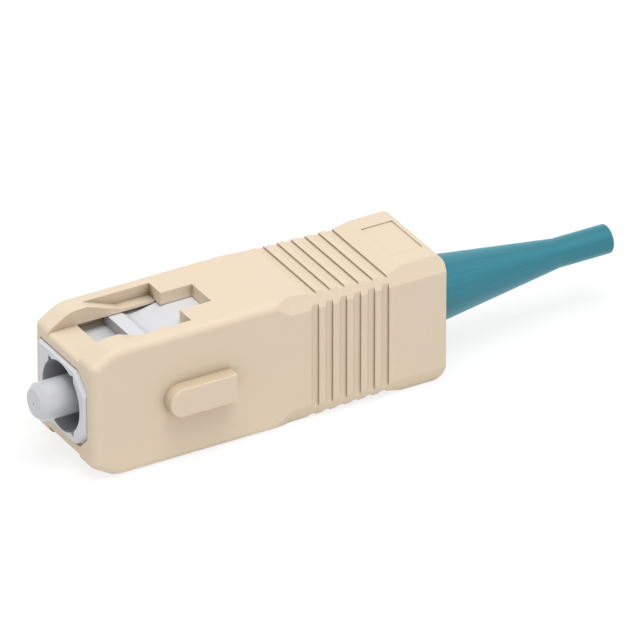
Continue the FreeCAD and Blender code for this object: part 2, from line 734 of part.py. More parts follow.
def make_buffer_tube(doc, s):
    """Tube in the rear of the stem that leads the buffered fibre through the spring."""
    body = new_body(doc, "buffer_tube")
    front = s.ferrule_back + s.throat_length
    outer = s.stem_radius - s.stem_wall
    sketch = new_sketch(body, "TubeWall", "XY_Plane")
    box_outline(sketch, (front, outer - s.tube_wall), (s.tube_end, outer))
    turn(body, "Revolution", sketch)
    return body


def make_spring(doc, s):
    """Compression spring with ground ends, between the collar and the stop ring's seat."""
    body = new_body(doc, "ferrule_spring")
    front = s.collar_back
    wire = new_sketch(body, "SpringWire", "XZ_Plane")
    circle = Part.Circle(Vector(front.value, s.spring_radius.value, 0), Vector(0, 0, 1),
                         s.wire_radius.value)
    curve = wire.addGeometry(circle)
    pin_point(wire, curve, 3, (front, s.spring_radius))
    bind(wire, "Radius", (curve,), s.wire_radius)
    helix = body.newObject("PartDesign::AdditiveHelix", "SpringCoils")
    helix.Profile = wire
    helix.ReferenceAxis = (wire, ["H_Axis"])
    helix.Mode = "height-turns-angle"
    helix.setExpression("Height", s.spring_length.text)
    helix.setExpression("Turns", s.spring_turns.text)
    finish(body, helix)
    middle = (front + s.spring_length / 2).value
    if abs(helix.Shape.BoundBox.Center.x - middle) > s.wire_radius.value:
        helix.Reversed = True
        finish(body, helix)

    ends = new_sketch(body, "GroundEnds", "XZ_Plane")
    reach = s.spring_radius + s.wire_radius + OVERCUT
    box_outline(ends, (front - OVERCUT, -reach), (front, reach))
    box_outline(ends, (s.seat_place, -reach), (s.seat_place + OVERCUT, reach))
    pocket(body, ends, reach * 2, both_ways=True)
    return body


# ---------------------------------------------------------------- stop ring and boot


def make_stop_ring(doc, s):
    """Plated rear body: barrel with snap lugs, rim, and the ringed spigot for the boot."""
    body = new_body(doc, "stop_ring")
    rim_back = s.rim_back
    spigot_end = s.spigot_end
    sketch = new_sketch(body, "RingProfile", "XY_Plane")
    outline(sketch, [(s.socket_front, 0), (s.socket_front, s.ring_radius),
                     (s.frame_end, s.ring_radius), (s.frame_end, s.rim_radius),
                     (rim_back, s.rim_radius), (rim_back, s.spigot_radius),
                     (spigot_end, s.spigot_radius), (spigot_end, 0)])
    turn(body, "Revolution", sketch)

    lugs = new_sketch(body, "SnapLugs", "XZ_Plane")
    half = s.lug_width / 2
    box_outline(lugs, (s.lug_front, -half), (s.lug_front + s.lug_length, half))
    pad(body, lugs, s.lug_reach * 2, both_ways=True)

    barbs = new_sketch(body, "SpigotRings", "XY_Plane")
    for barb in range(BARB_COUNT):
        valley = rim_back + s.barb_pitch * (barb + 1)
        outline(barbs, [(valley - s.barb_depth, s.spigot_radius + s.barb_depth),
                        (valley + s.barb_depth, s.spigot_radius - s.barb_depth),
                        (valley + s.barb_depth * BARB_SLOPE, s.spigot_radius + s.barb_depth)])
    turn(body, "Groove", barbs)

    bore = new_sketch(body, "RingBore", "XY_Plane")
    outline(bore, [(s.socket_front - OVERCUT, 0), (s.socket_front - OVERCUT, s.ring_bore),
                   (s.seat_place, s.ring_bore), (s.seat_place, s.seat_radius),
                   (rim_back, s.seat_radius), (rim_back, s.spigot_bore),
                   (spigot_end + OVERCUT, s.spigot_bore), (spigot_end + OVERCUT, 0)])
    turn(body, "Groove", bore)
    return body


def make_boot(doc, s):
    """Moulded strain relief: collar, body, long taper and plain tail, with a conical inside."""
    body = new_body(doc, "boot")
    front = s.rim_back
    collar_back = front + s.boot_collar_length
    sketch = new_sketch(body, "BootProfile", "XY_Plane")
    outline(sketch, [(front, 0), (front, s.boot_collar_radius), (collar_back, s.boot_collar_radius),
                     (collar_back, s.boot_radius), (s.taper_start, s.boot_radius),
                     (s.taper_end, s.tail_radius), (s.boot_end - s.tail_round, s.tail_radius),
                     (s.boot_end, s.tail_radius - s.tail_round), (s.boot_end, 0)],
            {6: -s.tail_round})
    turn(body, "Revolution", sketch)

    bore = new_sketch(body, "BootBore", "XY_Plane")
    outline(bore, [(front - OVERCUT, 0), (front - OVERCUT, s.spigot_radius),
                   (s.spigot_end, s.spigot_radius), (s.spigot_end, s.cone_mouth),
                   (s.cone_end, s.buffer_radius), (s.boot_end + OVERCUT, s.buffer_radius),
                   (s.boot_end + OVERCUT, 0)])
    turn(body, "Groove", bore)
    return body


# ---------------------------------------------------------------- document


def check(doc, bodies):
    for item in doc.Objects:
        if "Invalid" in item.State or "Error" in item.State:
            raise RuntimeError("%s is in state %s" % (item.Name, item.State))
    for body in bodies:
        if body.Shape.isNull() or not body.Shape.isValid() or not body.Shape.Solids:
            raise RuntimeError("%s has no valid solid" % body.Label)


def main():
    doc = FreeCAD.newDocument("ScConnector")
    s = Sizes(doc)
    doc.recompute()
    bodies = [
        make_grip(doc, s),
        make_plug_frame(doc, s),
        make_ferrule(doc, s),
        make_flange(doc, s),
        make_buffer_tube(doc, s),
        make_spring(doc, s),
        make_stop_ring(doc, s),
        make_boot(doc, s),
    ]
    doc.recompute()
    check(doc, bodies)
    os.makedirs("parts", exist_ok=True)
    for body in bodies:
        body.Shape.exportStep("parts/%s.step" % body.Label)
        box = body.Shape.BoundBox
        print("%-16s %9.3f mm3  X %.2f..%.2f  Y %.2f..%.2f  Z %.2f..%.2f" % (
            body.Label, body.Shape.Volume, box.XMin, box.XMax, box.YMin, box.YMax, box.ZMin,
            box.ZMax))


main()
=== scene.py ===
import json
import math

import bpy
from bpy.props import FloatProperty, FloatVectorProperty, IntProperty, PointerProperty
from bpy.types import Operator, Panel, PropertyGroup
from mathutils import Matrix, Vector


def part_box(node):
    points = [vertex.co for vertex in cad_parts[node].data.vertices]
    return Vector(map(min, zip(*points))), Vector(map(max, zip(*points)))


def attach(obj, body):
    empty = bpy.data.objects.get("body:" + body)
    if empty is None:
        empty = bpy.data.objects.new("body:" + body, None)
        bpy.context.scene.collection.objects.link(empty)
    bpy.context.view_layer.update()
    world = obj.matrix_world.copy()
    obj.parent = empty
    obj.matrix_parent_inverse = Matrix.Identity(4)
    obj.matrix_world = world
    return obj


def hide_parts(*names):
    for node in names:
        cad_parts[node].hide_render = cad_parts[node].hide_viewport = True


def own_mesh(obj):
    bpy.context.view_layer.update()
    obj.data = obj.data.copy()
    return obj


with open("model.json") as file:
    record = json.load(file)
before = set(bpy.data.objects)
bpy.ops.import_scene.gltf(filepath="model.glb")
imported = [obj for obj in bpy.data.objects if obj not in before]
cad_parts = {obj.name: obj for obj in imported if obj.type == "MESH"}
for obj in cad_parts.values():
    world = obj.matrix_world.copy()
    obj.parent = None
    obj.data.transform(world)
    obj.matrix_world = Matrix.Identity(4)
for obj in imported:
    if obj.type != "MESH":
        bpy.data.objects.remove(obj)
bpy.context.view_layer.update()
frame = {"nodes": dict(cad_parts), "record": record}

bl_info = {
    "name": "Push-Pull Fibre Plug",
    "version": (1, 0, 0),
    "blender": (4, 5, 0),
    "location": "View3D > Sidebar > Fibre Plug",
    "description": "Finishes, wound spring and stage for a push-pull fibre plug",
    "category": "Object",
}

MM = 0.001


def joint_travel(name):
    """How far a joint slides from rest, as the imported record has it."""
    joints = {joint["name"]: joint for joint in frame["record"]["behaviour"]["joints"]}
    return joints[name]["range_m"][1]


# ---------------------------------------------------------------- settings


def colour(name, description, default):
    """A colour that a user can change."""
    return FloatVectorProperty(name=name, description=description, default=default,
                               subtype="COLOR", size=4, min=0.0, max=1.0)


def length(name, description, default, high=100 * MM):
    """A length that a user can change, in metres."""
    return FloatProperty(name=name, description=description, default=default,
                         min=0.0, max=high, precision=6, subtype="DISTANCE", unit="LENGTH")


def angle(name, description, degrees):
    """An angle that a user can change."""
    return FloatProperty(name=name, description=description, default=math.radians(degrees),
                         subtype="ANGLE", unit="ROTATION")


class PlugColours(PropertyGroup):
    """Colours of the moulded, ground and plated parts."""

    grip: colour("Grip", "Beige engineering plastic of the outer grip", (0.86, 0.72, 0.545, 1))
    plug_frame: colour("Plug frame", "Pale grey plastic of the inner plug frame",
                       (0.77, 0.78, 0.81, 1))
    zirconia: colour("Ferrule", "Ground white zirconia", (0.60, 0.62, 0.64, 1))
    boot: colour("Boot", "Teal rubber of the strain relief", (0.033, 0.222, 0.292, 1))
    plating: colour("Plating", "Nickel plate of the flange and stop ring", (0.62, 0.60, 0.56, 1))
    tube: colour("Tube", "Milky white buffer tube", (0.78, 0.79, 0.78, 1))
    steel: colour("Spring", "Stainless spring wire", (0.50, 0.50, 0.49, 1))


class PlugDetail(PropertyGroup):
    """Sizes of the fine detail: edge softening, grain and the spring."""

    grip_edge: length("Grip edge", "Radius that softens the edges of the grip and boot",
                      0.022 * MM)
    frame_edge: length("Frame edge", "Radius that softens the edges of the plug frame and tube",
                       0.02 * MM)
    grain_size: length("Grain", "Size of the spark-eroded mould grain", 0.09 * MM)
    coil_radius: length("Coil radius", "Spring, axis to the middle of the wire", 1.85 * MM)
    wire_radius: length("Wire radius", "Spring wire", 0.225 * MM)
    coil_turns: IntProperty(name="Turns", description="Turns of the spring, ends included",
                            default=8, min=4, max=20)
    push: length("Push", "How far the ferrule is pushed back on its spring",
                 joint_travel("ferrule_push"))


class PlugStage(PropertyGroup):
    """Camera, lamp, world and floor. The plug's origin is in the middle of the grip's mouth."""

    azimuth: angle("Azimuth", "Camera, round the vertical", -30)
    elevation: angle("Elevation", "Camera, above the floor", 30)
    distance: length("Distance", "How far the camera stands back from the plug's origin",
                     751.1 * MM, high=10)
    aside: length("Aside", "How far the camera is moved to its right", 15.747 * MM)
    above: length("Above", "How far the camera is moved up, across its view", 4.616 * MM)
    lens: FloatProperty(name="Lens", description="Focal length of the camera in millimetres",
                        default=687.4, min=1, max=5000, unit="CAMERA")
    ambient: FloatProperty(name="Ambient", description="Strength of the even light all round",
                           default=0.5, min=0, max=2)
    key_light: FloatProperty(name="Key", description="Strength of the soft lamp overhead",
                             default=1.72, min=0, max=10)
    key_softness: angle("Key softness", "How wide the lamp looks from the plug", 35)
    key_from: FloatVectorProperty(name="Key from", description="Direction that the lamp is in",
                                  default=(-0.048, -0.242, 0.969), size=3, subtype="DIRECTION")
    floor: colour("Floor", "Paper under the plug", (0.80, 0.80, 0.80, 1))


# ---------------------------------------------------------------- node tools


def shader_group(name, inputs, outputs):
    """An empty shader group. An input is (name, type, default), an output (name, type)."""
    group = bpy.data.node_groups.new(name, "ShaderNodeTree")
    for label, kind, default in inputs:
        socket = group.interface.new_socket(label, in_out="INPUT",
                                            socket_type="NodeSocket" + kind)
        if default is not None:
            socket.default_value = default
    for label, kind in outputs:
        group.interface.new_socket(label, in_out="OUTPUT", socket_type="NodeSocket" + kind)
    source = group.nodes.new("NodeGroupInput")
    sink = group.nodes.new("NodeGroupOutput")
    return group, source.outputs, sink


def set_inputs(node, **sockets):
    """Set or link a node's inputs. A key is a name with _ for a space, or _ and a number."""
    links = node.id_data.links
    for key, value in sockets.items():
        socket = node.inputs[int(key[1:]) if key[0] == "_" else key.replace("_", " ")]
        if isinstance(value, bpy.types.NodeSocket):
            links.new(value, socket)
        else:
            socket.default_value = value


def add_node(tree, kind, settings=None, **sockets):
    """Add a node, give it its settings, and set or link its inputs."""
    node = tree.nodes.new(kind)
    for key, value in (settings or {}).items():
        setattr(node, key, value)
    set_inputs(node, **sockets)
    return node


def math_node(tree, operation, a, b=0.0, c=0.0, clamp=False):
    """The result of one sum. A MULTIPLY_ADD is a times b, plus c."""
    settings = {"operation": operation, "use_clamp": clamp}
    return add_node(tree, "ShaderNodeMath", settings, _0=a, _1=b, _2=c).outputs[0]


def remap(tree, value, source, target):
    """A value stretched from the range source to the range target, and held within it."""
    return add_node(tree, "ShaderNodeMapRange", _0=value, _1=source[0], _2=source[1],
                    _3=target[0], _4=target[1]).outputs[0]


def mix_colour(tree, amount, a, b):
    """Colour a where the amount is 0, and b where it is 1."""
    return add_node(tree, "ShaderNodeMix", {"data_type": "RGBA"}, _0=amount, _6=a,
                    _7=b).outputs[2]


def material(name):
    """A material with one Principled shader, and the object's own coordinates."""
    made = bpy.data.materials.new(name)
    made.use_nodes = True
    tree = made.node_tree
    tree.nodes.clear()
    shader = tree.nodes.new("ShaderNodeBsdfPrincipled")
    add_node(tree, "ShaderNodeOutputMaterial", Surface=shader.outputs[0])
    place = tree.nodes.new("ShaderNodeTexCoord").outputs["Object"]
    return made, tree, shader, place


# ---------------------------------------------------------------- shared effects

# A noise texture's values mostly lie between these.
NOISE_SPAN = (0.3, 0.7)

# The broad clouding's scale against the grain's, its share of the tone, and the tone's middle.
CLOUD_SCALE = 0.035
CLOUD_SHARE = 0.5
MIDDLE_TONE = 0.5
# The height of the grain's bump at a depth of 1.
GRAIN_HEIGHT = 0.02 * MM

# How far the rounded normal leans where wear starts, and where it is full.
WEAR_LEAN = (0.01, 0.2)
# The tones between which the grain breaks the wear up, and how much is left of it there.
WEAR_TONE = (0.35, 0.6)
WEAR_LEFT = (0.3, 1.0)


def mould_grain():
    """Fine spark-eroded grain: a tone mask, a roughness and a bumped normal."""
    group, ins, sink = shader_group(
        "Mould Grain",
        [("Coordinates", "Vector", None), ("Grain Size", "Float", 0.09 * MM),
         ("Normal", "Vector", None), ("Depth", "Float", 0.2), ("Roughness", "Float", 0.5),
         ("Roughness Spread", "Float", 0.1)],
        [("Tone", "Float"), ("Roughness", "Float"), ("Normal", "Vector")])
    scale = math_node(group, "DIVIDE", 1.0, ins["Grain Size"])
    fine = add_node(group, "ShaderNodeTexNoise", Vector=ins["Coordinates"], Scale=scale,
                    Detail=3.0, Roughness=0.6).outputs[0]
    broad = add_node(group, "ShaderNodeTexNoise", Vector=ins["Coordinates"],
                     Scale=math_node(group, "MULTIPLY", scale, CLOUD_SCALE), Detail=2.0,
                     Roughness=0.5).outputs[0]
    cloud = math_node(group, "MULTIPLY", broad, CLOUD_SHARE)
    tone = math_node(group, "MULTIPLY_ADD", fine, 1 - CLOUD_SHARE, cloud)
    swing = math_node(group, "SUBTRACT", tone, MIDDLE_TONE)
    spread = math_node(group, "MULTIPLY", swing, ins["Roughness Spread"])
    bump = add_node(group, "ShaderNodeBump", Strength=ins["Depth"], Distance=GRAIN_HEIGHT,
                    Height=fine, Normal=ins["Normal"])
    set_inputs(sink, Tone=tone, Normal=bump.outputs[0],
               Roughness=math_node(group, "ADD", ins["Roughness"], spread, clamp=True))
    return group


def soft_edge():
    """Rounds the shading of sharp corners, and masks them, broken by grain, for wear."""
    group, ins, sink = shader_group(
        "Soft Edge",
        [("Radius", "Float", 0.05 * MM), ("Tone", "Float", 0.5), ("Wear", "Float", 0.5)],
        [("Normal", "Vector"), ("Edge", "Float")])
    rounded = add_node(group, "ShaderNodeBevel", {"samples": 6}, Radius=ins["Radius"]).outputs[0]
    flat = add_node(group, "ShaderNodeNewGeometry").outputs["True Normal"]
    agree = add_node(group, "ShaderNodeVectorMath", {"operation": "DOT_PRODUCT"}, _0=rounded,
                     _1=flat).outputs["Value"]
    rise = remap(group, math_node(group, "SUBTRACT", 1.0, agree), WEAR_LEAN, (0.0, 1.0))
    broken = remap(group, ins["Tone"], WEAR_TONE, WEAR_LEFT)
    edge = math_node(group, "MULTIPLY", rise, broken)
    set_inputs(sink, Normal=rounded,
               Edge=math_node(group, "MULTIPLY", edge, ins["Wear"], clamp=True))
    return group


def painted_crevice_shade():
    """Painted shade: a mask of how open a place is, 1 on open faces, down to 0 deep in a corner.
    """
    group, ins, sink = shader_group(
        "Painted Crevice Shade",
        [("Reach", "Float", 1.5 * MM), ("Contrast", "Float", 1.0), ("Strength", "Float", 1.0)],
        [("Open", "Float")])
    near = add_node(group, "ShaderNodeAmbientOcclusion", {"only_local": True, "samples": 8},
                    Distance=ins["Reach"])
    closed = math_node(group, "SUBTRACT", 1.0, near.outputs["AO"])
    deep = math_node(group, "MULTIPLY", math_node(group, "POWER", closed, ins["Contrast"]),
                     ins["Strength"])
    set_inputs(sink, Open=math_node(group, "SUBTRACT", 1.0, deep, clamp=True))
    return group


def turned_rings():
    """Fine turning or polishing rings round the optical axis, as a height."""
    group, ins, sink = shader_group(
        "Turned Rings",
        [("Coordinates", "Vector", None), ("Pitch", "Float", 0.06 * MM)],
        [("Height", "Float")])
    split = add_node(group, "ShaderNodeSeparateXYZ", Vector=ins["Coordinates"]).outputs
    across = math_node(group, "MULTIPLY", split[1], split[1])
    down = math_node(group, "MULTIPLY", split[2], split[2])
    radius = math_node(group, "SQRT", math_node(group, "ADD", across, down))
    walk = math_node(group, "ADD", radius, split[0])
    point = add_node(group, "ShaderNodeCombineXYZ",
                     X=math_node(group, "DIVIDE", walk, ins["Pitch"]))
    noise = add_node(group, "ShaderNodeTexNoise", Vector=point.outputs[0], Scale=1.0, Detail=2.0)
    set_inputs(sink, Height=noise.outputs[0])
    return group


EFFECTS = {"Mould Grain": mould_grain, "Soft Edge": soft_edge, "Painted Crevice Shade": painted_crevice_shade,
           "Turned Rings": turned_rings}


def effect(tree, name, **sockets):
    """Place a shared effect in a material, with its own values. Its first use builds it."""
    group = bpy.data.node_groups.get(name) or EFFECTS[name]()
    return add_node(tree, "ShaderNodeGroup", {"node_tree": group}, **sockets).outputs


# ---------------------------------------------------------------- materials

# Brightness of a moulded colour at the two ends of its clouding, and on worn edges.
CLOUD_SHADES = (0.97, 1.03)
WORN_SHADE = 1.08
GRAIN_ROUGHNESS_SPREAD = 0.25

# Painted shade: what each colour is multiplied by deep in its corners. The grip's has a value
# for each channel, so that its painted shade is warmer too.
GRIP_PAINTED_SHADE = (0.25, 0.23, 0.19, 1)
FRAME_PAINTED_SHADE = 0.05
TUBE_PAINTED_SHADE = 0.6
BOOT_PAINTED_SHADE = 0.5

# The boot's grain, and the pitch of the ferrule's grinding rings, against the mould grain.
BOOT_GRAIN = 1.4
GRINDING_PITCH = 0.3

# Lines along the boot: how close they come round it, how fast they drift along it, per metre,
# and the roughness and brightness that they swing between. The brightness swing is painted:
# light and dark streaks that stand in for reflections.
LINE_SCALE = 3.2
LINE_DRIFT = 12.0
LINE_ROUGHNESS = (0.24, 0.4)
PAINTED_STREAK_SHADES = (0.9, 1.1)

# Turned and ground surfaces: the rings' bump at a strength of 1, and the brightness and
# roughness that they swing between, against the material's own.
RING_HEIGHT = 0.01 * MM
CERAMIC_SHADES = (0.99, 1.01)
METAL_SHADES = (0.9, 1.1)
METAL_ROUGHNESS = (0.7, 1.3)


def shade(base, amount):
    """A colour made darker or lighter."""
    return tuple(channel * amount for channel in base[:3]) + (1.0,)


def moulded_skin(name, base, shadow, reach, edge_radius, grain, depth, wear, roughness=0.5,
                 contrast=1.0):
    """A matt moulded skin: clouded colour, with painted shade in its corners, and paler on worn
    edges.

    The grain is placed twice: its tone breaks up the wear, and its bump goes over the
    rounded edges that come with the wear.
    """
    made, tree, shader, place = material(name)
    cloud = effect(tree, "Mould Grain", Coordinates=place, Grain_Size=grain)["Tone"]
    edge = effect(tree, "Soft Edge", Radius=edge_radius, Tone=cloud, Wear=wear)
    skin = effect(tree, "Mould Grain", Coordinates=place, Grain_Size=grain, Depth=depth,
                  Normal=edge["Normal"], Roughness=roughness,
                  Roughness_Spread=GRAIN_ROUGHNESS_SPREAD)
    # Painted shade: this mask turns the colour towards the shadow colour in corners and hollows.
    painted_shade = effect(tree, "Painted Crevice Shade", Reach=reach, Contrast=contrast, Strength=contrast)
    dark, pale = (shade(base, amount) for amount in CLOUD_SHADES)
    body = mix_colour(tree, cloud, dark, pale)
    body = mix_colour(tree, painted_shade["Open"], shadow, body)
    body = mix_colour(tree, edge["Edge"], body, shade(base, WORN_SHADE))
    set_inputs(shader, Base_Color=body, Roughness=skin["Roughness"], Normal=skin["Normal"])
    return made, shader


def grip_plastic(colours, detail):
    """Beige glass-filled plastic: matt, with a warm painted shade in its corners."""
    shadow = tuple(own * deep for own, deep in zip(colours.grip, GRIP_PAINTED_SHADE))
    made, shader = moulded_skin("grip_plastic", colours.grip, shadow, reach=3 * MM,
                                edge_radius=detail.grip_edge, grain=detail.grain_size,
                                depth=0.25, wear=0.2, roughness=0.55, contrast=2.0)
    set_inputs(shader, Specular_IOR_Level=0.35)
    return made


def frame_plastic(colours, detail):
    """Pale grey plastic with a satin skin, and painted shade that makes it dark inside its bore.
    """
    shadow = shade(colours.plug_frame, FRAME_PAINTED_SHADE)
    made, _ = moulded_skin("frame_plastic", colours.plug_frame, shadow, reach=5 * MM,
                           edge_radius=detail.frame_edge, grain=detail.grain_size,
                           depth=0.15, wear=0.2, roughness=0.38)
    return made


def tube_plastic(colours, detail):
    """Milky extruded tube, with painted shade in its corners."""
    shadow = shade(colours.tube, TUBE_PAINTED_SHADE)
    made, shader = moulded_skin("tube_plastic", colours.tube, shadow, reach=1 * MM,
                                edge_radius=detail.frame_edge, grain=detail.grain_size,
                                depth=0.05, wear=0.1, roughness=0.3)
    set_inputs(shader, Subsurface_Weight=0.2, Subsurface_Scale=1 * MM)
    return made


def boot_rubber(colours, detail):
    """Teal rubber: satin, draw lines with painted streaks, painted corner shade, and a soft
    paler bloom at glancing angles.
    """
    shadow = shade(colours.boot, BOOT_PAINTED_SHADE)
    made, shader = moulded_skin("boot_rubber", colours.boot, shadow, reach=1 * MM,
                                edge_radius=detail.grip_edge,
                                grain=detail.grain_size * BOOT_GRAIN, depth=0.1, wear=0.1)
    set_inputs(shader, Specular_IOR_Level=0.35, Sheen_Weight=1.0, Sheen_Roughness=0.4,
               Sheen_Tint=(0.2, 0.8, 1.0, 1.0))
    draw_lines_and_painted_streaks(made.node_tree, shader)
    return made


def draw_lines_and_painted_streaks(tree, shader):
    """Faint lines along the boot, where it was drawn off its core pin.

    Their roughness takes the place of the grain's, and their tone swing is painted: light and
    dark streaks that stand in for reflections.
    """
    place = add_node(tree, "ShaderNodeTexCoord").outputs["Object"]
    split = add_node(tree, "ShaderNodeSeparateXYZ", Vector=place).outputs
    across = add_node(tree, "ShaderNodeCombineXYZ", Y=split[1], Z=split[2])
    bearing = add_node(tree, "ShaderNodeVectorMath", {"operation": "NORMALIZE"},
                       _0=across.outputs[0])
    drift = add_node(tree, "ShaderNodeCombineXYZ",
                     X=math_node(tree, "MULTIPLY", split[0], LINE_DRIFT))
    walk = add_node(tree, "ShaderNodeVectorMath", {"operation": "ADD"}, _0=bearing.outputs[0],
                    _1=drift.outputs[0])
    lines = add_node(tree, "ShaderNodeTexNoise", Vector=walk.outputs[0], Scale=LINE_SCALE,
                     Detail=2.0, Roughness=0.6).outputs[0]
    body = shader.inputs["Base Color"].links[0].from_socket
    # Painted streaks: the tone swing stands in for reflections along the boot.
    streaked = add_node(tree, "ShaderNodeVectorMath", {"operation": "SCALE"}, _0=body,
                     Scale=remap(tree, lines, NOISE_SPAN, PAINTED_STREAK_SHADES))
    set_inputs(shader, Base_Color=streaked.outputs[0],
               Roughness=remap(tree, lines, NOISE_SPAN, LINE_ROUGHNESS))


def ringed(name, base, shades, pitch, strength):
    """A turned or ground surface: rings in its tone and bump."""
    made, tree, shader, place = material(name)
    rings = effect(tree, "Turned Rings", Coordinates=place, Pitch=pitch)["Height"]
    dark, pale = (shade(base, amount) for amount in shades)
    bump = add_node(tree, "ShaderNodeBump", Strength=strength, Distance=RING_HEIGHT,
                    Height=rings)
    set_inputs(shader, Base_Color=mix_colour(tree, rings, dark, pale), Normal=bump.outputs[0])
    return made, tree, shader, rings


def ground_zirconia(colours, detail):
    """Ground ceramic: dense white, glossy, with grinding rings that catch the light."""
    made, _, shader, _ = ringed("ground_zirconia", colours.zirconia, CERAMIC_SHADES,
                                pitch=detail.grain_size * GRINDING_PITCH, strength=0.04)
    set_inputs(shader, Roughness=0.16, IOR=2.1)
    return made


def turned_metal(name, base, roughness, pitch):
    """Plated or drawn metal, with rings in its tone, roughness and bump."""
    made, tree, shader, rings = ringed(name, base, METAL_SHADES, pitch=pitch, strength=0.1)
    swing = [roughness * part for part in METAL_ROUGHNESS]
    set_inputs(shader, Metallic=1.0, Roughness=remap(tree, rings, (0.0, 1.0), swing))
    return made


# ---------------------------------------------------------------- pieces

# How finely the spring is divided, along each turn and round the wire.
STEPS_PER_TURN = 48
WIRE_SIDES = 20


def add_piece(name, mesh, finish):
    """A new object at the origin, with one material."""
    piece = bpy.data.objects.new(name, mesh)
    bpy.context.scene.collection.objects.link(piece)
    mesh.materials.append(finish)
    return piece


def apply_modifiers(piece):
    """Bake a piece's modifiers into its mesh."""
    view = bpy.context.evaluated_depsgraph_get()
    baked = bpy.data.meshes.new_from_object(piece.evaluated_get(view))
    piece.modifiers.clear()
    spent = piece.data
    piece.data = baked
    bpy.data.meshes.remove(spent)


def dress_node(node, finish):
    """Give a CAD node its finish."""
    mesh = frame["nodes"][node].data
    mesh.materials.clear()
    mesh.materials.append(finish)


def coil_tree():
    """Geometry Nodes: a round wire wound on the axis, with a closed and ground turn each end."""
    tree = bpy.data.node_groups.new("Coil Spring", "GeometryNodeTree")
    for label, kind in (("Geometry", "Geometry"), ("Front", "Float"), ("Length", "Float"),
                        ("Coil Radius", "Float"), ("Wire Radius", "Float"), ("Turns", "Float"),
                        ("Wire", "Material")):
        tree.interface.new_socket(label, in_out="INPUT", socket_type="NodeSocket" + kind)
    tree.interface.new_socket("Geometry", in_out="OUTPUT", socket_type="NodeSocketGeometry")
    ins = tree.nodes.new("NodeGroupInput").outputs
    sink = tree.nodes.new("NodeGroupOutput")

    def calc(operation, a, b=0.0, **more):
        return math_node(tree, operation, a, b, **more)

    # Turns wound so far, and how many of them are in the closed ends.
    along = add_node(tree, "GeometryNodeSplineParameter").outputs["Factor"]
    turn = calc("MULTIPLY", along, ins["Turns"])
    first = calc("MINIMUM", turn, 1.0)
    left = calc("SUBTRACT", ins["Turns"], turn)
    last = calc("SUBTRACT", 1.0, left, clamp=True)
    ends = calc("ADD", first, last)
    # A closed turn climbs by the wire's thickness. The open turns share what is left.
    wire = calc("MULTIPLY", ins["Wire Radius"], 2.0)
    open_turns = calc("SUBTRACT", ins["Turns"], 2.0)
    middle = calc("SUBTRACT", calc("SUBTRACT", turn, first), last)
    share = calc("DIVIDE", middle, open_turns)
    span = calc("SUBTRACT", ins["Length"], calc("MULTIPLY", wire, 2.0))
    climb = calc("ADD", calc("MULTIPLY", ends, wire), calc("MULTIPLY", share, span))

    bearing = calc("MULTIPLY", turn, math.tau)
    place = add_node(tree, "ShaderNodeCombineXYZ", X=calc("ADD", climb, ins["Front"]),
                     Y=calc("MULTIPLY", ins["Coil Radius"], calc("COSINE", bearing)),
                     Z=calc("MULTIPLY", ins["Coil Radius"], calc("SINE", bearing)))
    line = add_node(tree, "GeometryNodeCurvePrimitiveLine")
    points = add_node(tree, "GeometryNodeResampleCurve", Curve=line.outputs[0],
                      Count=calc("MULTIPLY_ADD", ins["Turns"], float(STEPS_PER_TURN), c=1.0))
    wound = add_node(tree, "GeometryNodeSetPosition", Geometry=points.outputs[0],
                     Position=place.outputs[0])
    rim = add_node(tree, "GeometryNodeCurvePrimitiveCircle", Resolution=WIRE_SIDES,
                   Radius=ins["Wire Radius"])
    rod = add_node(tree, "GeometryNodeCurveToMesh", Curve=wound.outputs[0],
                   Profile_Curve=rim.outputs[0], Fill_Caps=True)

    # Grinding: what stands past either end is pressed back to it.
    here = add_node(tree, "GeometryNodeInputPosition").outputs[0]
    split = add_node(tree, "ShaderNodeSeparateXYZ", Vector=here).outputs
    rear = calc("ADD", ins["Front"], ins["Length"])
    ground = calc("MINIMUM", calc("MAXIMUM", split[0], ins["Front"]), rear)
    flat = add_node(tree, "ShaderNodeCombineXYZ", X=ground, Y=split[1], Z=split[2])
    faced = add_node(tree, "GeometryNodeSetPosition", Geometry=rod.outputs[0],
                     Position=flat.outputs[0])
    real = add_node(tree, "GeometryNodeRealizeInstances", Geometry=faced.outputs[0])
    painted = add_node(tree, "GeometryNodeSetMaterial", Geometry=real.outputs[0],
                       Material=ins["Wire"])
    set_inputs(sink, Geometry=painted.outputs[0])
    return tree


# ---------------------------------------------------------------- operators


class PLUG_OT_grip(Operator):
    """Finish the moulded outer grip"""
    bl_idname = "plug.grip"
    bl_label = "Grip"

    def execute(self, context):
        scene = context.scene
        dress_node("grip", grip_plastic(scene.plug_colours, scene.plug_detail))
        return {"FINISHED"}


class PLUG_OT_plug_frame(Operator):
    """Finish the inner plug frame"""
    bl_idname = "plug.plug_frame"
    bl_label = "Plug frame"

    def execute(self, context):
        scene = context.scene
        dress_node("plug_frame", frame_plastic(scene.plug_colours, scene.plug_detail))
        return {"FINISHED"}


class PLUG_OT_ferrule(Operator):
    """Finish the ferrule, its plated flange and the buffer tube"""
    bl_idname = "plug.ferrule"
    bl_label = "Ferrule and flange"

    def execute(self, context):
        colours = context.scene.plug_colours
        detail = context.scene.plug_detail
        dress_node("ferrule", ground_zirconia(colours, detail))
        dress_node("ferrule_flange", turned_metal("plated_flange", colours.plating,
                                                  roughness=0.25, pitch=0.06 * MM))
        dress_node("buffer_tube", tube_plastic(colours, detail))
        return {"FINISHED"}


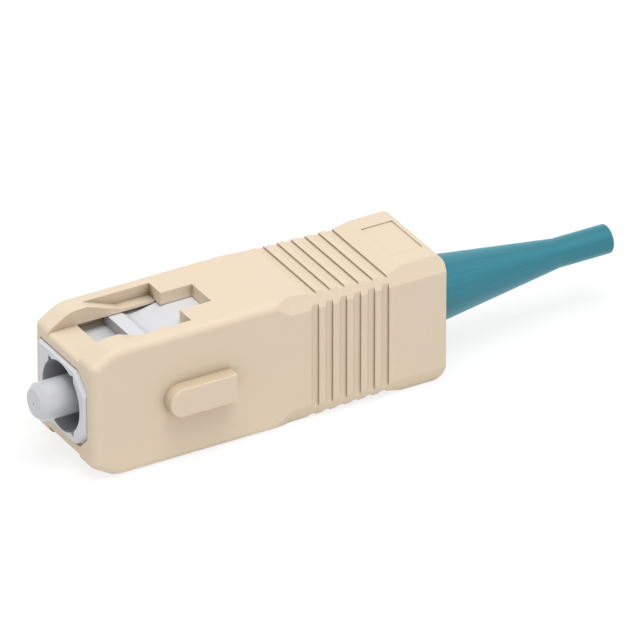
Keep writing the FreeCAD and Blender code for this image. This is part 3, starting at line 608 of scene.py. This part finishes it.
class PLUG_OT_spring(Operator):
    """Wind the ferrule spring, with closed and ground ends"""
    bl_idname = "plug.spring"
    bl_label = "Spring"

    def execute(self, context):
        scene = context.scene
        detail = scene.plug_detail
        wire = turned_metal("drawn_wire", scene.plug_colours.steel, roughness=0.3,
                            pitch=0.04 * MM)
        low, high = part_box("ferrule_spring")
        piece = add_piece("coil_spring", bpy.data.meshes.new("coil_spring"), wire)
        sizes = {"Front": low.x, "Length": high.x - low.x, "Coil Radius": detail.coil_radius,
                 "Wire Radius": detail.wire_radius, "Turns": float(detail.coil_turns),
                 "Wire": wire}
        tree = coil_tree()
        winding = piece.modifiers.new("winding", "NODES")
        winding.node_group = tree
        for socket in tree.interface.items_tree:
            if socket.in_out == "INPUT" and socket.name in sizes:
                winding[socket.identifier] = sizes[socket.name]
        apply_modifiers(piece)
        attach(piece, "plug")
        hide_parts("ferrule_spring")
        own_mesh(piece)
        return {"FINISHED"}


class PLUG_OT_stop_ring(Operator):
    """Finish the plated stop ring"""
    bl_idname = "plug.stop_ring"
    bl_label = "Stop ring"

    def execute(self, context):
        plating = context.scene.plug_colours.plating
        dress_node("stop_ring", turned_metal("plated_ring", plating, roughness=0.3,
                                             pitch=0.08 * MM))
        return {"FINISHED"}


class PLUG_OT_boot(Operator):
    """Finish the rubber boot"""
    bl_idname = "plug.boot"
    bl_label = "Boot"

    def execute(self, context):
        scene = context.scene
        dress_node("boot", boot_rubber(scene.plug_colours, scene.plug_detail))
        return {"FINISHED"}


# The floor lies this far under the grip, so that no two faces share a plane.
FLOOR_DROP = 0.02 * MM
# From the middle of the floor to its edges, in metres.
FLOOR_REACH = 3.0
# The camera and reflections see this share of the floor's colour, and this much even white.
FLOOR_SEEN = 0.25
FLOOR_GLOW = 0.82
SENSOR_WIDTH_MM = 36
NEAREST_SEEN = 10 * MM


def camera_only(tree, seen, unseen):
    """A value for what the camera, mirrors and glass see, and another for all other rays."""
    path = tree.nodes.new("ShaderNodeLightPath").outputs
    direct = math_node(tree, "ADD", path["Is Camera Ray"], path["Is Glossy Ray"], clamp=True)
    any_way = math_node(tree, "ADD", direct, path["Is Transmission Ray"], clamp=True)
    return add_node(tree, "ShaderNodeMix", _0=any_way, _2=unseen, _3=seen).outputs[0]


class PLUG_OT_stage(Operator):
    """Set up the camera, the lamp, the world and the floor"""
    bl_idname = "plug.stage"
    bl_label = "Stage"

    def execute(self, context):
        stage = context.scene.plug_stage
        self.make_camera(context.scene, stage)
        self.make_world(context.scene, stage)
        self.make_lamp(context.scene, stage)
        self.make_floor(stage)
        context.scene.view_settings.view_transform = "Standard"
        return {"FINISHED"}

    def make_camera(self, scene, stage):
        turn, lift = stage.azimuth, stage.elevation
        back = Vector((math.sin(turn) * math.cos(lift), -math.cos(turn) * math.cos(lift),
                       math.sin(lift)))
        right = Vector((math.cos(turn), math.sin(turn), 0))
        up = back.cross(right)
        lens = bpy.data.cameras.new("camera")
        lens.lens = stage.lens
        lens.sensor_width = SENSOR_WIDTH_MM
        lens.clip_start = NEAREST_SEEN
        camera = bpy.data.objects.new("camera", lens)
        scene.collection.objects.link(camera)
        place = back * stage.distance + right * stage.aside + up * stage.above
        turned = Matrix((right, up, back)).transposed().to_4x4()
        camera.matrix_world = Matrix.Translation(place) @ turned
        scene.camera = camera

    def make_world(self, scene, stage):
        world = bpy.data.worlds.new("studio")
        scene.world = world
        world.use_nodes = True
        tree = world.node_tree
        set_inputs(tree.nodes["Background"], Color=(1, 1, 1, 1),
                   Strength=camera_only(tree, 1.0, stage.ambient))

    def make_lamp(self, scene, stage):
        key = bpy.data.lights.new("key_lamp", "SUN")
        key.energy = stage.key_light
        key.angle = stage.key_softness
        lamp = bpy.data.objects.new("key_lamp", key)
        scene.collection.objects.link(lamp)
        turned = Vector(stage.key_from).to_track_quat("Z", "Y")
        lamp.matrix_world = turned.to_matrix().to_4x4()

    def make_floor(self, stage):
        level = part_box("grip")[0].z - FLOOR_DROP
        corners = [(x * FLOOR_REACH, y * FLOOR_REACH, level)
                   for x, y in ((-1, -1), (1, -1), (1, 1), (-1, 1))]
        mesh = bpy.data.meshes.new("floor")
        mesh.from_pydata(corners, [], [(0, 1, 2, 3)])
        paper = bpy.data.materials.new("floor_paper")
        paper.use_nodes = True
        tree = paper.node_tree
        tree.nodes.clear()
        grey = add_node(tree, "ShaderNodeCombineColor")
        for number, channel in enumerate(stage.floor[:3]):
            tone = camera_only(tree, channel * FLOOR_SEEN, channel)
            tree.links.new(tone, grey.inputs[number])
        matt = add_node(tree, "ShaderNodeBsdfDiffuse", Color=grey.outputs[0])
        glow = add_node(tree, "ShaderNodeEmission", Color=(1, 1, 1, 1),
                        Strength=camera_only(tree, FLOOR_GLOW, 0.0))
        both = add_node(tree, "ShaderNodeAddShader", _0=matt.outputs[0], _1=glow.outputs[0])
        add_node(tree, "ShaderNodeOutputMaterial", Surface=both.outputs[0])
        add_piece("floor", mesh, paper)


# ---------------------------------------------------------------- panel and registration


OPERATORS = (PLUG_OT_grip, PLUG_OT_plug_frame, PLUG_OT_ferrule, PLUG_OT_spring,
             PLUG_OT_stop_ring, PLUG_OT_boot, PLUG_OT_stage)
SETTINGS = (("plug_colours", PlugColours), ("plug_detail", PlugDetail),
            ("plug_stage", PlugStage))


class PLUG_PT_panel(Panel):
    """Lists the plug's pieces and settings in the sidebar"""
    bl_idname = "PLUG_PT_panel"
    bl_label = "Fibre Plug"
    bl_space_type = "VIEW_3D"
    bl_region_type = "UI"
    bl_category = "Fibre Plug"

    def draw(self, context):
        for kind in OPERATORS:
            self.layout.operator(kind.bl_idname)
        for name, _ in SETTINGS:
            group = getattr(context.scene, name)
            box = self.layout.box()
            for key in group.bl_rna.properties.keys():
                if key not in ("rna_type", "name"):
                    box.prop(group, key)


def register():
    for name, kind in SETTINGS:
        bpy.utils.register_class(kind)
        setattr(bpy.types.Scene, name, PointerProperty(type=kind))
    for kind in OPERATORS + (PLUG_PT_panel,):
        bpy.utils.register_class(kind)


def unregister():
    for kind in (PLUG_PT_panel,) + OPERATORS[::-1]:
        bpy.utils.unregister_class(kind)
    for name, kind in SETTINGS[::-1]:
        delattr(bpy.types.Scene, name)
        bpy.utils.unregister_class(kind)


def main():
    register()
    bpy.ops.plug.grip()
    bpy.ops.plug.plug_frame()
    bpy.ops.plug.ferrule()
    bpy.ops.plug.spring()
    bpy.ops.plug.stop_ring()
    bpy.ops.plug.boot()
    bpy.ops.plug.stage()


if __name__ == "__main__":
    main()
